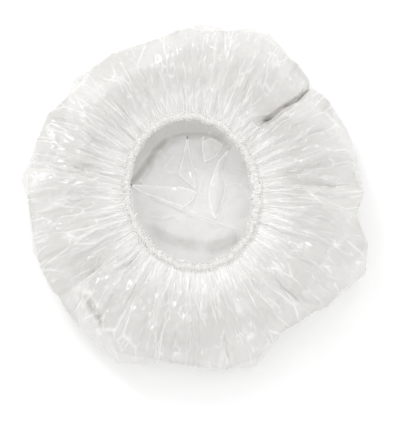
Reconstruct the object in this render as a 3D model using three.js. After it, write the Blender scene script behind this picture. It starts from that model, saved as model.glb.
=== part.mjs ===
// A gathered film shower cap, lying on its crown with its opening up, as it puffs out by itself.
// Millimetres, +Z up. The origin is on the surface that the cap lies on, under the middle of its outline.
// Two pieces: the film, which is one hollow skin from crown to hem, and the elastic band sewn on its hem.

import * as THREE from "three";

// The film, drawn with a wall that a solid can carry.
const WALL = 1.2;

// The elastic's oval centreline, the band's section, and the height of the middle of that section.
const BAND = { long: 61.5, short: 51.5, turned: 102, width: 6, height: 4.4, level: 46, sides: 10 };
// The gap left between the band and the hem that it is sewn on.
const SEAM_GAP = 0.3;

// The main folds round the cap. A row is a corner of the outline or, with a negative crest, a deep fold.
// at: degrees from +X. reach: from the axis to the rim. lift: height of the rim. crest: rise over the puffed top.
const FOLDS = [
  { at: 4, reach: 127, lift: 22, crest: -7 },
  { at: 12, reach: 134, lift: 27, crest: 2 },
  { at: 29, reach: 132, lift: 30, crest: 1 },
  { at: 38, reach: 132, lift: 30, crest: 4 },
  { at: 43, reach: 128, lift: 25, crest: -9 },
  { at: 54, reach: 136, lift: 31, crest: 5 },
  { at: 67, reach: 141, lift: 28, crest: 3 },
  { at: 78, reach: 142, lift: 26, crest: 3 },
  { at: 82, reach: 139, lift: 25, crest: -3 },
  { at: 87, reach: 141, lift: 26, crest: 2 },
  { at: 103, reach: 132, lift: 27, crest: 3 },
  { at: 118, reach: 129, lift: 28, crest: 0 },
  { at: 131, reach: 125, lift: 27, crest: 2 },
  { at: 148, reach: 132, lift: 29, crest: 4 },
  { at: 168, reach: 126, lift: 23, crest: -6 },
  { at: 173, reach: 137, lift: 30, crest: 5 },
  { at: 183, reach: 134, lift: 28, crest: 1 },
  { at: 193, reach: 133, lift: 25, crest: -2 },
  { at: 205, reach: 131, lift: 25, crest: 2 },
  { at: 218, reach: 129, lift: 24, crest: -5 },
  { at: 226, reach: 129, lift: 30, crest: 3 },
  { at: 241, reach: 138, lift: 32, crest: 4 },
  { at: 257, reach: 141, lift: 27, crest: 0 },
  { at: 271, reach: 141, lift: 24, crest: 3 },
  { at: 284, reach: 136, lift: 25, crest: -2 },
  { at: 299, reach: 137, lift: 28, crest: 4 },
  { at: 315, reach: 129, lift: 23, crest: -6 },
  { at: 326, reach: 143, lift: 29, crest: 4 },
  { at: 341, reach: 144, lift: 27, crest: 3 },
  { at: 358, reach: 135, lift: 25, crest: 2 },
];
// The film is pulled straight between two folds, and its top sags this far there.
const SAG = 2.5;
// Each stretch between two folds is cut into an even number of steps of about this many degrees.
const STEP = 3.2;

// Small pleats, one for each two steps, which start at the band and run out before the crest.
const PLEAT = { rise: 1.6, from: 1, full: 9, to: 40 };

// The underside's share of the rim's reach that lies flat, and the height of the puffed top's crest.
const FLAT_SHARE = 0.6;
const CREST = { share: 0.48, level: 53 };

const radians = THREE.MathUtils.degToRad;
const mix = THREE.MathUtils.lerp;
const smooth = THREE.MathUtils.smoothstep;

/** Distance from the axis to the elastic's centreline, in a direction given in degrees. */
function bandReach(at) {
  const turn = radians(at - BAND.turned);
  return 1 / Math.hypot(Math.cos(turn) / BAND.long, Math.sin(turn) / BAND.short);
}

/** Distance from the axis to the straight line between the rims of two folds, in a direction between them. */
function chordReach(one, next, at) {
  const span = radians(next.at - one.at);
  const passed = radians(at - one.at);
  const left = span - passed;
  const area = one.reach * next.reach * Math.sin(span);
  return area / (one.reach * Math.sin(passed) + next.reach * Math.sin(left));
}

/** The directions round the cap, each with its rim and its rise, in even steps from each fold to the next. */
function stations() {
  const found = [];
  FOLDS.forEach((one, i) => {
    const after = FOLDS[(i + 1) % FOLDS.length];
    const next = { ...after, at: after.at + (i + 1 === FOLDS.length ? 360 : 0) };
    const steps = 2 * Math.max(1, Math.round((next.at - one.at) / STEP / 2));
    for (let k = 0; k < steps; k++) {
      const share = k / steps;
      const at = mix(one.at, next.at, share);
      found.push({
        at,
        reach: chordReach(one, next, at),
        lift: mix(one.lift, next.lift, share),
        crest: mix(one.crest, next.crest, share) - SAG * Math.sin(Math.PI * share),
        pleat: k % 2 ? -1 : 1,
      });
    }
  });
  return found;
}

/** The outer skin's line from the hem over the puffed top and round the rim to the flat underside, as (reach, height). */
function meridian({ at, reach, lift, crest, pleat }) {
  const band = bandReach(at);
  const underBand = BAND.level - BAND.height / 2 - SEAM_GAP;
  const outside = band + BAND.width / 2;
  const top = (share, level, rise) => {
    const out = mix(outside, reach, share);
    const off = out - outside;
    const grown = smooth(off, PLEAT.from, PLEAT.full) * (1 - smooth(off, PLEAT.full, PLEAT.to));
    return new THREE.Vector2(out, level + crest * rise + pleat * PLEAT.rise * grown);
  };
  const flat = reach * FLAT_SHARE;
  return [
    new THREE.Vector2(band - BAND.width * 0.3, underBand),
    new THREE.Vector2(band + BAND.width * 0.3, underBand),
    top(0.03, BAND.level - 1.5, 0),
    top(0.1, BAND.level + 1.5, 0.15),
    top(0.18, BAND.level + 3.5, 0.4),
    top(0.32, mix(BAND.level, CREST.level, 0.8), 0.8),
    top(CREST.share, CREST.level, 1),
    top(0.64, CREST.level - 2, 1),
    top(0.78, CREST.level - 6.5, 0.8),
    top(0.89, mix(CREST.level - 7, lift, 0.45), 0.5),
    top(0.96, mix(CREST.level - 7, lift, 0.72), 0.2),
    new THREE.Vector2(reach, lift),
    new THREE.Vector2(reach - 3, lift * 0.7),
    new THREE.Vector2(reach - 10, lift * 0.42),
    new THREE.Vector2(mix(reach, flat, 0.45), lift * 0.18),
    new THREE.Vector2(mix(reach, flat, 0.75), lift * 0.05),
    new THREE.Vector2(flat, 0),
    new THREE.Vector2(flat * 0.5, 0),
  ];
}

/** A line moved to its left by the wall, each point along the middle of the two directions that meet there. */
function moved(line, by) {
  return line.map((point, i) => {
    const ahead = line[Math.min(i + 1, line.length - 1)];
    const behind = line[Math.max(i - 1, 0)];
    const along = ahead.clone().sub(behind).normalize();
    return new THREE.Vector2(point.x + along.y * by, point.y - along.x * by);
  });
}

/** A closed geometry from loops of equal length that run from one pole to the other. */
function bodyOfLoops(first, loops, last) {
  const points = [first, ...loops.flat(), last];
  const around = loops[0].length;
  const faces = [];
  const at = (loop, i) => 1 + loop * around + (i % around);
  const end = points.length - 1;
  for (let i = 0; i < around; i++) {
    faces.push(0, at(0, i + 1), at(0, i));
    faces.push(end, at(loops.length - 1, i), at(loops.length - 1, i + 1));
    for (let k = 0; k + 1 < loops.length; k++) {
      faces.push(at(k, i), at(k, i + 1), at(k + 1, i));
      faces.push(at(k, i + 1), at(k + 1, i + 1), at(k + 1, i));
    }
  }
  return new THREE.BufferGeometry().setFromPoints(points).setIndex(faces);
}

/** A closed geometry from sections of equal length that follow each other round a ring. */
function bodyOfSections(sections) {
  const sides = sections[0].length;
  const faces = [];
  const at = (section, i) => (section % sections.length) * sides + (i % sides);
  for (let k = 0; k < sections.length; k++) {
    for (let i = 0; i < sides; i++) {
      faces.push(at(k, i), at(k + 1, i), at(k, i + 1));
      faces.push(at(k, i + 1), at(k + 1, i), at(k + 1, i + 1));
    }
  }
  return new THREE.BufferGeometry().setFromPoints(sections.flat()).setIndex(faces);
}

/** A point in a direction given in degrees, at a reach and a height. */
function placed(at, reach, height) {
  return new THREE.Vector3(reach * Math.cos(radians(at)), reach * Math.sin(radians(at)), height);
}

/** The film: its outer skin from the crown's middle out and up to the hem, and its inner skin back again. */
function filmGeometry(round) {
  const outer = round.map((station) => meridian(station));
  const inner = outer.map((line) => moved(line, WALL));
  const loop = (lines, k) => round.map(({ at }, i) => placed(at, lines[i][k].x, lines[i][k].y));
  const steps = outer[0].map((_, k) => k);
  const loops = [...steps.toReversed().map((k) => loop(outer, k)), ...steps.map((k) => loop(inner, k))];
  return bodyOfLoops(placed(0, 0, 0), loops, placed(0, 0, WALL));
}

/** The elastic band: an oval section carried round its centreline. */
function bandGeometry(round) {
  const turns = Array.from({ length: BAND.sides }, (_, i) => (2 * Math.PI * i) / BAND.sides);
  return bodyOfSections(
    round.map(({ at }) =>
      turns.map((turn) =>
        placed(
          at,
          bandReach(at) + (BAND.width / 2) * Math.cos(turn),
          BAND.level + (BAND.height / 2) * Math.sin(turn),
        ),
      ),
    ),
  );
}

/** A named mesh of one sub-part. */
function subPart(name, geometry, material) {
  const mesh = new THREE.Mesh(geometry, material);
  mesh.name = name;
  return mesh;
}

const film = new THREE.MeshStandardMaterial({
  color: 0xe9e9e6,
  roughness: 0.25,
  metalness: 0,
  transparent: true,
  opacity: 0.5,
});
const elastic = new THREE.MeshStandardMaterial({ color: 0xf1f0ea, roughness: 0.8, metalness: 0 });

const round = stations();
const cap = new THREE.Group();
cap.add(subPart("film", filmGeometry(round), film));
cap.add(subPart("elastic_band", bandGeometry(round), elastic));

// The outline isn't quite centred on the band, so the cap is set with the middle of its box over the origin.
const box = new THREE.Box3().setFromObject(cap);
const middle = box.getCenter(new THREE.Vector3());
cap.children.forEach((mesh) => mesh.position.set(-middle.x, -middle.y, 0));

export default cap;
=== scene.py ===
"""A gathered film shower cap lying on its crown with its opening up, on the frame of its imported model.

Everything is in metres, +Z up, with the origin on the surface that the cap lies on. The film is one thin
sheet. Its first mesh has a point on each pleat's ridge and valley. A cloth simulation buckles it, creases and
facets are pressed in, and the crown's folded-over film is laid on it. The elastic is a gathered roll of hem
with overlock stitches round it.
"""

import logging
import math
from collections.abc import Callable, Sequence
from dataclasses import dataclass, field
from enum import Enum

import bmesh
import bpy
import numpy as np
from mathutils import Matrix, Vector
from mathutils.bvhtree import BVHTree
from mathutils.geometry import delaunay_2d_cdt


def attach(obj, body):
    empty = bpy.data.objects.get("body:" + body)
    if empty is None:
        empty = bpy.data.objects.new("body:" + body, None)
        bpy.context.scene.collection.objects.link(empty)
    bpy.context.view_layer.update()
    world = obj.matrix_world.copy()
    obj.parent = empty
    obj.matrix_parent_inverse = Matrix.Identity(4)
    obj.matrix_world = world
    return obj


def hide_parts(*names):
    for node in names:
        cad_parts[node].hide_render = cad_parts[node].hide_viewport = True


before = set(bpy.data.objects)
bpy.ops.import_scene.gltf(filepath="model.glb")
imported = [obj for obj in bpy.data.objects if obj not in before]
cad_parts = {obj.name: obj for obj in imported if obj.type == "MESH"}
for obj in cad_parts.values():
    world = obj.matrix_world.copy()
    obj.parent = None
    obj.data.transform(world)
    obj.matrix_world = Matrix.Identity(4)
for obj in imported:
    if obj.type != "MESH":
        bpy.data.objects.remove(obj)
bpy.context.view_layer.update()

MM = 0.001
FULL_TURN = 2 * math.pi
# The gather attribute's depth on film that is folded over, beyond any real distance from the hem.
FOLDED = 0.3
# Spots closer together than this, in millimetres, are one when flat outlines are cut into triangles.
SAME_SPOT = 1e-4
LOG = logging.getLogger("shower_cap")

Array = np.ndarray
Piece = bpy.types.Object
Socket = bpy.types.NodeSocket
Colour = tuple[float, float, float]
Size = tuple[float, float, float]
Range = tuple[float, float]
Line = tuple[tuple[float, float], ...]
Profile = Sequence[tuple[float, float]]


class Slot(Enum):
    """The material slots."""

    FILM = "film"
    ELASTIC = "elastic"


def along(place: Array | float, profile: Profile) -> Array:
    """Reads a value off a line of (place, value) corners.

    Args:
        place: where to read, in the unit of the profile's places.
        profile: the corners, in rising order.

    Returns:
        The values, held level beyond the two ends.
    """
    return np.interp(place, [corner[0] for corner in profile], [corner[1] for corner in profile])


def soft_step(share: Array) -> Array:
    """Eases a share from 0 to 1, level at both ends."""
    share = np.clip(share, 0, 1)
    return share * share * (3 - 2 * share)


def signed(turn: Array) -> Array:
    """Brings angles in radians to between minus a half turn and a half turn."""
    return (turn + math.pi) % FULL_TURN - math.pi


def tapered(share: Array, steepness: float, lead: float = 0.0) -> Array:
    """Gives 1 along a line, falling to 0 at its ends. A lead makes its start stronger."""
    return np.clip(np.minimum(share + lead, 1 - share) * steepness, 0, 1)


def right_side(turn: Array, spread: float) -> Array:
    """Tells how far directions belong to the right side, where the hem is loose, from 1 down to 0."""
    return np.exp(-((signed(turn) / spread) ** 2))


def round_axis(turn: Array, reach: Array | float, height: Array) -> Array:
    """Gives places, one row each, from their directions, distances from the Z axis and heights."""
    return np.stack([reach * np.cos(turn), reach * np.sin(turn), height], axis=1)


def read_rows(items: bpy.types.bpy_prop_collection, name: str) -> Array:
    """Reads a vector of each item of a mesh, one row each.

    Args:
        items: the mesh's vertices, or an attribute's data.
        name: what the vector is called there.

    Returns:
        The rows.
    """
    flat = np.zeros(len(items) * 3, np.float32)
    items.foreach_get(name, flat)
    return flat.reshape(-1, 3)


def read_points(piece: Piece) -> Array:
    """Reads the places of a piece's vertices, one row each."""
    return read_rows(piece.data.vertices, "co").astype(float)


def write_points(piece: Piece, points: Array) -> None:
    """Writes the places of a piece's vertices back, one row each."""
    piece.data.vertices.foreach_set("co", points.astype(np.float32).ravel())
    piece.data.update()


def mark(mesh: bpy.types.Mesh, name: str, values: Array) -> None:
    """Gives each vertex of a mesh a number, or a row of three, as a new attribute."""
    kind, slot = ("FLOAT_VECTOR", "vector") if values.ndim == 2 else ("FLOAT", "value")
    mesh.attributes.new(name, kind, "POINT").data.foreach_set(slot, values.ravel())


def put_in(name: str, data: bpy.types.ID) -> Piece:
    """Puts a mesh, curve, light or camera in the scene.

    Args:
        name: the object's name.
        data: what it holds.

    Returns:
        The object.
    """
    piece = bpy.data.objects.new(name, data)
    bpy.context.scene.collection.objects.link(piece)
    return piece


def added(name: str, operator: Callable, **settings: object) -> Piece:
    """Adds a primitive, which is then all that is selected.

    Args:
        name: the object's name.
        operator: what adds it.
        settings: the operator's own settings.

    Returns:
        The object.
    """
    bpy.ops.object.select_all(action="DESELECT")
    operator(**settings)
    piece = bpy.context.object
    piece.name = piece.data.name = name
    return piece


def select_only(piece: Piece) -> None:
    """Selects one object, makes it active, and leaves nothing else selected.

    Args:
        piece: the object.
    """
    bpy.ops.object.select_all(action="DESELECT")
    piece.select_set(True)
    bpy.context.view_layer.objects.active = piece


def shade_smooth(piece: Piece) -> None:
    """Shades a piece smoothly."""
    select_only(piece)
    bpy.ops.object.shade_smooth()


def join(name: str, parts: list[Piece]) -> Piece:
    """Joins meshes into one piece.

    Args:
        name: the piece's name.
        parts: what goes into it.

    Returns:
        The piece.
    """
    select_only(parts[0])
    for part in parts:
        part.select_set(True)
    bpy.ops.object.join()
    piece = bpy.context.object
    piece.name = piece.data.name = name
    return piece


def faces_of(piece: Piece) -> BVHTree:
    """Makes a tree of a piece's faces, for casting rays at them.

    Args:
        piece: the mesh.

    Returns:
        The tree.
    """
    mesh = bmesh.new()
    mesh.from_mesh(piece.data)
    tree = BVHTree.FromBMesh(mesh)
    mesh.free()
    return tree


# ----------------------------------------------------------------------------------- shader nodes and groups


class NodeBoard:
    """A short way to place and join the nodes of a material or a shader group."""

    def __init__(self, tree: bpy.types.NodeTree) -> None:
        """Takes the tree that the nodes go in."""
        self.tree = tree

    def add(self, kind: str, inputs: dict | None = None, **settings: object) -> bpy.types.Node:
        """Places a node.

        Args:
            kind: the node's type without "ShaderNode".
            inputs: for an input's name or number, a constant or an output socket to join to it.
            settings: the node's own settings.

        Returns:
            The node.
        """
        node = self.tree.nodes.new(f"ShaderNode{kind}")
        for name, value in settings.items():
            setattr(node, name, value)
        for name, value in (inputs or {}).items():
            self.feed(node.inputs[name], value)
        return node

    def feed(self, socket: Socket, value: object) -> None:
        """Joins an output to a socket, or sets its constant.

        Args:
            socket: the input that is fed.
            value: an output socket or a constant.
        """
        if isinstance(value, Socket):
            self.tree.links.new(value, socket)
        else:
            socket.default_value = value

    def math(self, operation: str, *values: object, clamp: bool = False) -> Socket:
        """Places a Math node on constants or sockets and gives its result."""
        return self.add("Math", dict(enumerate(values)), operation=operation, use_clamp=clamp).outputs[0]

    def vector(self, operation: str, *values: object) -> Socket:
        """Places a Vector Math node on constants or sockets and gives its result."""
        return self.add("VectorMath", dict(enumerate(values)), operation=operation).outputs["Vector"]

    def chain(self, operation: str, *values: object) -> Socket:
        """Carries one Math operation through many values, such as a sum or the greatest of them.

        Args:
            operation: the Math node's operation.
            values: two or more constants or sockets.

        Returns:
            The last result.
        """
        result = values[0]
        for value in values[1:]:
            result = self.math(operation, result, value)
        return result

    def ramp(
        self, value: object, low: float, high: float, at_low: float = 0.0, at_high: float = 1.0
    ) -> Socket:
        """Carries a value from one range to another, smoothly and held at both ends.

        Args:
            value: what is read.
            low: the range's start.
            high: its end.
            at_low: the result at and before the start.
            at_high: the result at and after the end.

        Returns:
            The result.
        """
        sizes = {"Value": value, "From Min": low, "From Max": high, "To Min": at_low, "To Max": at_high}
        return self.add("MapRange", sizes, interpolation_type="SMOOTHSTEP").outputs["Result"]

    def mix(self, share: object, one: object, other: object, blend: str = "MIX") -> Socket:
        """Mixes two colours.

        Args:
            share: how much of the other one there is.
            one: the first colour, as a socket, three numbers or four.
            other: the other colour.
            blend: the Mix node's way of blending.

        Returns:
            The mixed colour.
        """
        colours = [(*value, 1) if isinstance(value, tuple) else value for value in (one, other)]
        inputs = {0: share, 6: colours[0], 7: colours[1]}
        return self.add("Mix", inputs, data_type="RGBA", blend_type=blend).outputs[2]

    def mottled(self, place: Socket, scale: float, strength: float) -> Socket:
        """Places the soft mottle group and gives its value."""
        return MOTTLE.put_on(self, {"Place": place, "Scale": scale, "Strength": strength})["Value"]


@dataclass(frozen=True)
class ShaderGroup:
    """A node group that materials share: its name, its inputs' constants, and what places its nodes."""

    name: str
    inputs: dict[str, object]
    fill: Callable[[NodeBoard, dict], dict[str, Socket]]

    def tree(self) -> bpy.types.NodeTree:
        """Builds the group once, or finds it.

        Returns:
            The group.
        """
        if self.name in bpy.data.node_groups:
            return bpy.data.node_groups[self.name]
        tree = bpy.data.node_groups.new(self.name, "ShaderNodeTree")
        for label, constant in self.inputs.items():
            kind = "NodeSocketVector" if isinstance(constant, tuple) else "NodeSocketFloat"
            socket = tree.interface.new_socket(name=label, in_out="INPUT", socket_type=kind)
            socket.default_value = constant
        results = self.fill(NodeBoard(tree), tree.nodes.new("NodeGroupInput").outputs)
        for label in results:
            tree.interface.new_socket(name=label, in_out="OUTPUT", socket_type="NodeSocketFloat")
        leave = tree.nodes.new("NodeGroupOutput")
        for label, socket in results.items():
            tree.links.new(socket, leave.inputs[label])
        return tree

    def put_on(self, board: NodeBoard, values: dict[str, object]) -> dict[str, Socket]:
        """Places the group in a material, with its own values, and gives its outputs."""
        return board.add("Group", values, node_tree=self.tree()).outputs


def fill_mottle(board: NodeBoard, given: dict[str, Socket]) -> dict[str, Socket]:
    """Places soft uneven patches: a value round 1 that a colour or another value is multiplied by.

    Args:
        board: the group's nodes.
        given: the group's inputs.

    Returns:
        What feeds each output.
    """
    patches = board.add("TexNoise", {"Vector": given["Place"], "Scale": given["Scale"], "Detail": 3.0})
    swing = board.math("MULTIPLY", board.math("SUBTRACT", patches.outputs["Fac"], 0.5), given["Strength"])
    return {"Value": board.math("ADD", swing, 1.0)}


def fill_strands(board: NodeBoard, given: dict[str, Socket]) -> dict[str, Socket]:
    """Places fine strands that run out from the hem and die away, as thin pressed pleats do.

    Args:
        board: the group's nodes.
        given: the group's inputs.

    Returns:
        What feeds each output.
    """
    stretched = board.vector("MULTIPLY", given["Place"], given["Stretch"])
    noise = board.add("TexNoise", {"Vector": stretched, "Scale": 1.0, "Detail": 1.5, "Roughness": 0.4})
    off = board.math("ABSOLUTE", board.math("SUBTRACT", noise.outputs["Fac"], 0.5))
    ridge = board.ramp(off, 0.0, given["Width"], 1.0, 0.0)
    return {"Height": board.math("MULTIPLY", ridge, given["Fade"])}


def fill_facets(board: NodeBoard, given: dict[str, Socket]) -> dict[str, Socket]:
    """Places crumpled facets: flat slopes that rise from bent borders, with a thin crease along some.

    Args:
        board: the group's nodes.
        given: the group's inputs.

    Returns:
        What feeds each output: the height, and where the thin creases run.
    """
    stretched = board.vector("MULTIPLY", given["Place"], given["Stretch"])
    bend = board.add("TexNoise", {"Vector": stretched, "Scale": 1.1, "Detail": 1.0}).outputs["Color"]
    bend = board.vector("MULTIPLY", board.vector("SUBTRACT", bend, (0.5, 0.5, 0.5)), given["Warp"])
    bent = board.vector("ADD", stretched, bend)
    cells = board.add("TexVoronoi", {"Vector": bent, "Scale": 1.0}, feature="DISTANCE_TO_EDGE")
    off = cells.outputs["Distance"]
    some = board.add("TexNoise", {"Vector": stretched, "Scale": 0.9, "Detail": 1.0}).outputs["Fac"]
    border = board.math("SUBTRACT", 1.0, board.math("DIVIDE", off, given["Width"]), clamp=True)
    line = board.chain("MULTIPLY", border, board.ramp(some, 0.50, 0.64), given["Fade"])
    slope = board.chain("MULTIPLY", off, given["Rise"], given["Fade"])
    return {"Height": board.math("ADD", slope, board.math("MULTIPLY", line, given["Crease"])), "Line": line}


MOTTLE = ShaderGroup("soft_mottle", {"Place": (0, 0, 0), "Scale": 20.0, "Strength": 0.2}, fill_mottle)
STRANDS = ShaderGroup(
    "fine_strands", {"Place": (0, 0, 0), "Stretch": (1, 1, 1), "Width": 0.1, "Fade": 1.0}, fill_strands
)
FACETS = ShaderGroup(
    "crumpled_facets",
    {
        "Place": (0, 0, 0),
        "Stretch": (1, 1, 1),
        "Warp": (0, 0, 0),
        "Rise": 0.005,
        "Width": 0.07,
        "Crease": 0.0,
        "Fade": 1.0,
    },
    fill_facets,
)


def new_material(name: str) -> tuple[bpy.types.Material, dict[str, Socket]]:
    """Makes a material.

    Args:
        name: its name.

    Returns:
        The material and its shader's inputs.
    """
    material = bpy.data.materials.new(name)
    material.use_nodes = True
    return material, material.node_tree.nodes["Principled BSDF"].inputs


# --------------------------------------------------------------------------------------------------- finishes


class FilmBoard(NodeBoard):
    """The nodes of the film's material, with what they read at each point of the film."""

    def __init__(self, tree: bpy.types.NodeTree) -> None:
        """Places the nodes that read the film.

        Args:
            tree: the material's nodes.
        """
        super().__init__(tree)
        self.place = self.add("TexCoord").outputs["Object"]
        self.gather = self.add("Attribute", attribute_name="gather").outputs["Vector"]
        self.depth = self.add("SeparateXYZ", {"Vector": self.gather}).outputs["Z"]
        # Painted shade along deep folds, and painted highlights along the crown's creases and the folds'
        # edges.
        self.shade = self.add("Attribute", attribute_name="shade").outputs["Fac"]
        self.crease = self.add("Attribute", attribute_name="crease").outputs["Fac"]
        self.facing = self.add("LayerWeight", {"Blend": 0.4}).outputs["Facing"]

    def zone(self, depths: Range, before: float = 0.0, beyond: float = 1.0) -> Socket:
        """Gives a value that passes from one number to another over a range of distances from the hem."""
        return self.ramp(self.depth, *depths, before, beyond)


@dataclass(frozen=True)
class Crumple:
    """One size of facets in the film's bump.

    They lie as closely as `stretch` says, with borders bent by `warp`. Their slopes and the thin creases on
    their borders have a height, and the creases have a width and a share of painted highlight along them.
    """

    stretch: Size
    warp: float
    rise: float
    width: float
    crease: float
    white: float


@dataclass(frozen=True)
class FilmFinish:
    """Thin glossy polyethylene film, milky and half see-through, crumpled into flat facets.

    Its facets run out from the hem on the puffed part, and have no direction on the crown. Seen at a slant it
    covers more. Near the hem and where it is folded over it is painted whiter, partly for the gathered and
    doubled film and partly as painted light over their shade; on the crown the whiter paint is painted light.
    It has painted highlights along its creases and painted shade deep in its folds. The zones are distances
    from the hem.
    """

    milk: Colour = (0.77, 0.762, 0.742)
    # Whiter milk near the hem, on the crown and on folds: partly the gathered and doubled film, partly
    # painted light over their shade.
    whiter_milk_and_painted_light: Colour = (0.95, 0.945, 0.93)
    # Painted highlight: the white that the film is painted along its creases.
    painted_highlight_white: Colour = (0.97, 0.968, 0.96)
    # Painted shade: the grey that the film is painted towards deep in its folds.
    painted_shade_grey: Colour = (0.37, 0.357, 0.325)
    tone_patches: Range = (45.0, 0.12)
    cover_patches: Range = (26.0, 0.22)
    cover: float = 0.48
    slant_cover: float = 0.65
    # Along its painted highlights, and where it is folded over, the film covers more.
    painted_highlight_cover: float = 0.4
    folded_cover: float = 0.3
    roughness: float = 0.08
    slant_roughness: float = 0.8
    slant: Range = (0.5, 0.85)
    gloss_index: float = 1.5
    gloss_level: float = 1.0
    # Painted light: the film is painted whiter near the hem, partly for its gathered pleats, fully just by
    # the elastic and on the crown, over the shade there.
    hem_zone: Range = (0.004, 0.035)
    hem_white_and_painted_light: float = 0.6
    hem_painted_light_zone: Range = (0.004, 0.014)
    crown_zone: Range = (0.14, 0.17)
    crown_painted_light: float = 0.9
    folded_zone: Range = (0.25, 0.28)
    puff_start: Range = (0.012, 0.03)
    puff_end: Range = (0.14, 0.165)
    rim_zone: Range = (0.076, 0.088)
    beyond_rim: float = 0.2
    crown_start: Range = (0.15, 0.17)
    # The last number of each is the share of painted highlight along its creases.
    coarse: Crumple = Crumple((9, 9, 24), 0.14, 4.0 * MM, 0.06, 0.35 * MM, 0.42)
    fine: Crumple = Crumple((19, 19, 50), 0.5, 1.1 * MM, 0.10, 0.15 * MM, 0.4)
    crown: Crumple = Crumple((62, 62, 62), 0.5, 1.6 * MM, 0.04, 0.0, 0.15)
    strand_zone: Range = (0.008, 0.034)
    strand_stretch: Size = (34, 34, 45)
    strand_width: float = 0.10
    strand_rise: float = 0.15 * MM
    # The share of painted highlight along the pressed pleats.
    strand_painted_highlight: float = 0.4

    def material(self) -> bpy.types.Material:
        """Builds the film's material.

        Returns:
            The material.
        """
        material, shader = new_material("cap_film")
        board = FilmBoard(material.node_tree)
        height, line = self.creasing(board)
        bump = board.add("Bump", {"Strength": 1.0, "Distance": 1.0, "Height": height})
        rough = board.ramp(board.facing, *self.slant, self.roughness, self.slant_roughness)
        board.feed(shader["Base Color"], self.colour(board, line))
        board.feed(shader["Alpha"], self.covering(board, line))
        board.feed(shader["Normal"], bump.outputs["Normal"])
        board.feed(shader["Roughness"], rough)
        shader["Specular IOR Level"].default_value = self.gloss_level
        shader["IOR"].default_value = self.gloss_index
        return material

    def creasing(self, board: FilmBoard) -> tuple[Socket, Socket]:
        """Places the film's creasing: coarse and fine facets, the crown's, and pressed pleats at the hem.

        Args:
            board: the material's nodes.

        Returns:
            The height of it all, and how white the film is along its creases.
        """
        start, end = board.zone(self.puff_start), board.zone(self.puff_end, 1.0, 0.0)
        puffed = board.chain("MULTIPLY", start, end, board.zone(self.rim_zone, 1.0, self.beyond_rim))
        flat = board.zone(self.crown_start)
        heights, lines = [], []
        for crumple, place, fade in (
            (self.coarse, board.gather, puffed),
            (self.fine, board.gather, puffed),
            (self.crown, board.place, flat),
        ):
            values = {
                "Place": place,
                "Stretch": crumple.stretch,
                "Warp": (crumple.warp,) * 3,
                "Rise": crumple.rise,
                "Width": crumple.width,
                "Crease": crumple.crease,
                "Fade": fade,
            }
            facets = FACETS.put_on(board, values)
            heights.append(facets["Height"])
            # The share of painted highlight along these facets' creases.
            lines.append(board.math("MULTIPLY", facets["Line"], crumple.white))
        values = {
            "Place": board.gather,
            "Stretch": self.strand_stretch,
            "Width": self.strand_width,
            "Fade": board.zone(self.strand_zone, 1.0, 0.0),
        }
        strands = STRANDS.put_on(board, values)["Height"]
        heights.append(board.math("MULTIPLY", strands, self.strand_rise))
        # The share of painted highlight along the pressed pleats.
        lines.append(board.math("MULTIPLY", strands, self.strand_painted_highlight))
        return board.chain("ADD", *heights), board.chain("MAXIMUM", *lines, board.crease)

    def colour(self, board: FilmBoard, line: Socket) -> Socket:
        """Gives the film's colour: whiter near the hem and on folds, partly as painted light, whiter on the
        crown as painted light, with painted highlights on creases and painted shade deep in folds.

        Args:
            board: the material's nodes.
            line: how much painted highlight the film has along its creases.

        Returns:
            The colour.
        """
        # Painted whiter: partly the gathered and folded film, partly painted light over the shade by the hem
        # and on the crown.
        whiter = board.chain(
            "MAXIMUM",
            board.zone(self.hem_zone, self.hem_white_and_painted_light, 0.0),
            board.zone(self.hem_painted_light_zone, 1.0, 0.0),
            board.zone(self.crown_zone, 0.0, self.crown_painted_light),
            board.zone(self.folded_zone),
        )
        tone = board.mix(whiter, self.milk, self.whiter_milk_and_painted_light)
        patches = board.mottled(board.place, *self.tone_patches)
        uneven = board.mix(1.0, tone, patches, "MULTIPLY")
        # Painted shade deep in the folds, then painted highlights along the creases.
        shaded = board.mix(board.shade, uneven, self.painted_shade_grey)
        return board.mix(line, shaded, self.painted_highlight_white)

    def covering(self, board: FilmBoard, line: Socket) -> Socket:
        """Gives how much the film covers: more at a slant, folded over, and under its painted highlights and
        painted shade.

        Args:
            board: the material's nodes.
            line: how much painted highlight the film has along its creases.

        Returns:
            The alpha.
        """
        straight = board.math("MULTIPLY", board.mottled(board.place, *self.cover_patches), self.cover)
        slanted = board.math("MULTIPLY", board.facing, self.slant_cover)
        painted_highlight_alpha = board.math("MULTIPLY", line, self.painted_highlight_cover)
        folded = board.zone(self.folded_zone, 0.0, self.folded_cover)
        # The film covers more where it is folded over, and under its painted highlights and painted shade.
        doubled_and_painted = board.chain("ADD", painted_highlight_alpha, board.shade, folded)
        return board.math("ADD", board.math("ADD", straight, slanted), doubled_and_painted, clamp=True)


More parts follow.
